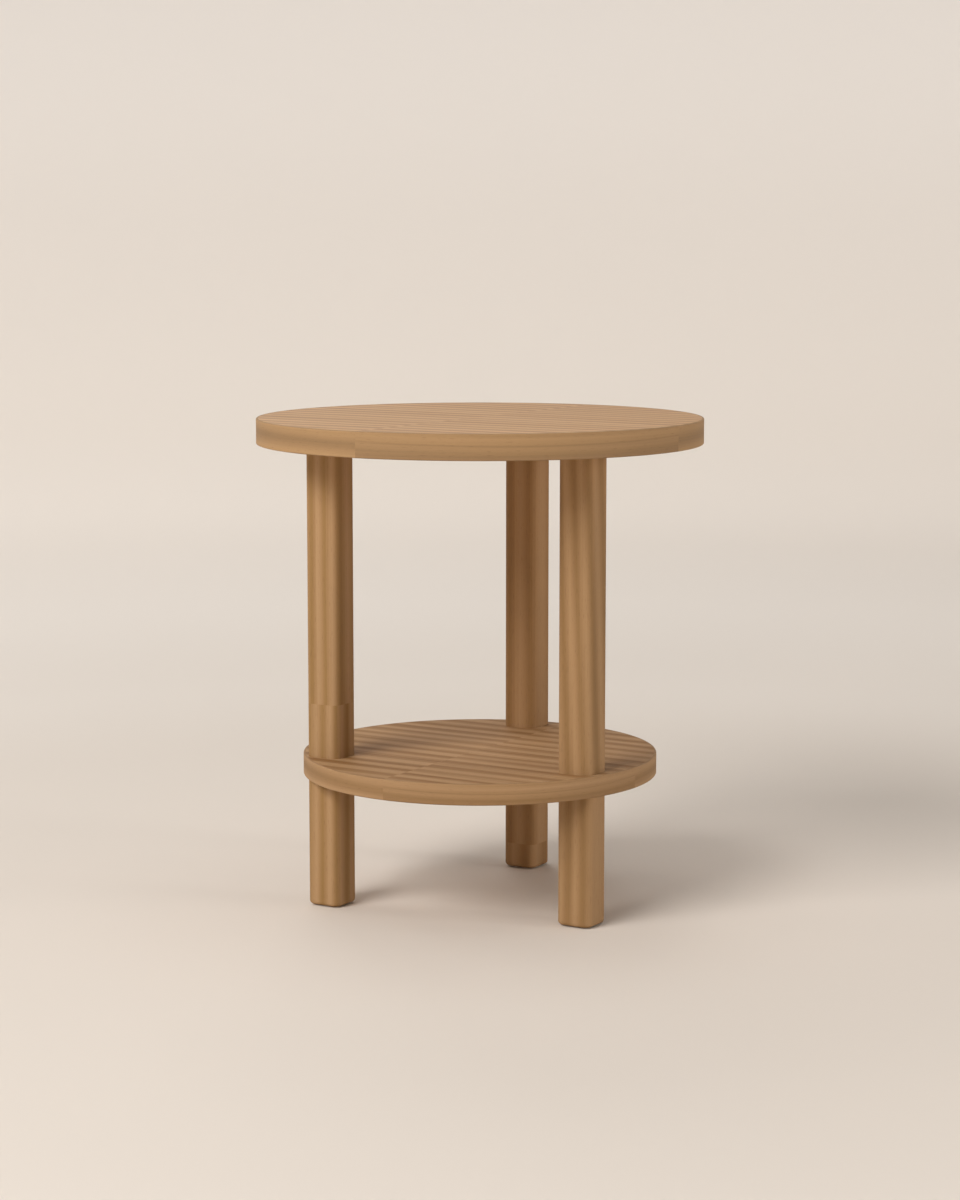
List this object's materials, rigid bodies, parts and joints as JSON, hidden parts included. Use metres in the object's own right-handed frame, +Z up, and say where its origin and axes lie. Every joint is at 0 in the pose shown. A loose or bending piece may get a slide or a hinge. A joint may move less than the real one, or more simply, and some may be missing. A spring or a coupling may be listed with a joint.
{
  "type": "round side table",
  "caption": "Round wooden side table: a round top and a smaller round shelf low down, carried on square legs with rounded edges and feet.",
  "frame": {"origin": "on the floor, under the centre of the round top", "axes": "+Z up along the table's axis, +X along the grain of the top and shelf, leg faces square to X and Y"},
  "size_m": [0.45, 0.45, 0.4939],
  "materials": {
    "face_veneer": "matt lacquer over straight-grained veneer",
    "edge_band": "matt lacquer over solid edging, grain along the rim",
    "leg_timber": "matt lacquer over planed timber, grain along the leg",
    "core_board": "raw pressed fibreboard",
    "plated_steel": "zinc plated",
    "felt": "pressed wool felt"
  },
  "bodies": {
    "root": {"top_core": "core_board", "top_face_veneer": "face_veneer", "top_backing_veneer": "face_veneer", "top_edge_band": "edge_band", "shelf_core": "core_board", "shelf_face_veneer": "face_veneer", "shelf_backing_veneer": "face_veneer", "shelf_edge_band": "edge_band", "upper_leg_back": "leg_timber", "upper_leg_front_left": "leg_timber", "upper_leg_front_right": "leg_timber", "lower_leg_back": "leg_timber", "lower_leg_front_left": "leg_timber", "lower_leg_front_right": "leg_timber", "top_insert_nuts": "plated_steel", "hanger_bolts": "plated_steel", "upper_leg_insert_nuts": "plated_steel", "shelf_studs": "plated_steel", "lower_leg_insert_nuts": "plated_steel", "felt_pads": "felt"}
  },
  "joints": []
}
